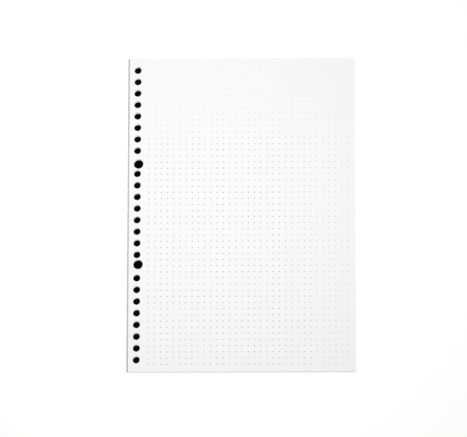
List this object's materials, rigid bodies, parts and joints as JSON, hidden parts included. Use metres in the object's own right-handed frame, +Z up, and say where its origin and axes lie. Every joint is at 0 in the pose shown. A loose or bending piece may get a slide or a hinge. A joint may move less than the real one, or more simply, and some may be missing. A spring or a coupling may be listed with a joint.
{
  "type": "loose-leaf refill paper",
  "caption": "Flat pack of loose dot-ruled sheets in B5 size with a row of ring holes along one long edge.",
  "frame": {"origin": "centre of the pack's underside, where it lies on the desk", "axes": "+X across the page away from the punched binding edge, +Y up the page, +Z up out of the pack"},
  "size_m": [0.182, 0.257, 0.0045],
  "materials": {
    "paper_stack": "matt",
    "dotted_paper": "matt"
  },
  "bodies": {
    "root": {"sheet_stack": "paper_stack", "top_sheet": "dotted_paper"}
  },
  "joints": []
}
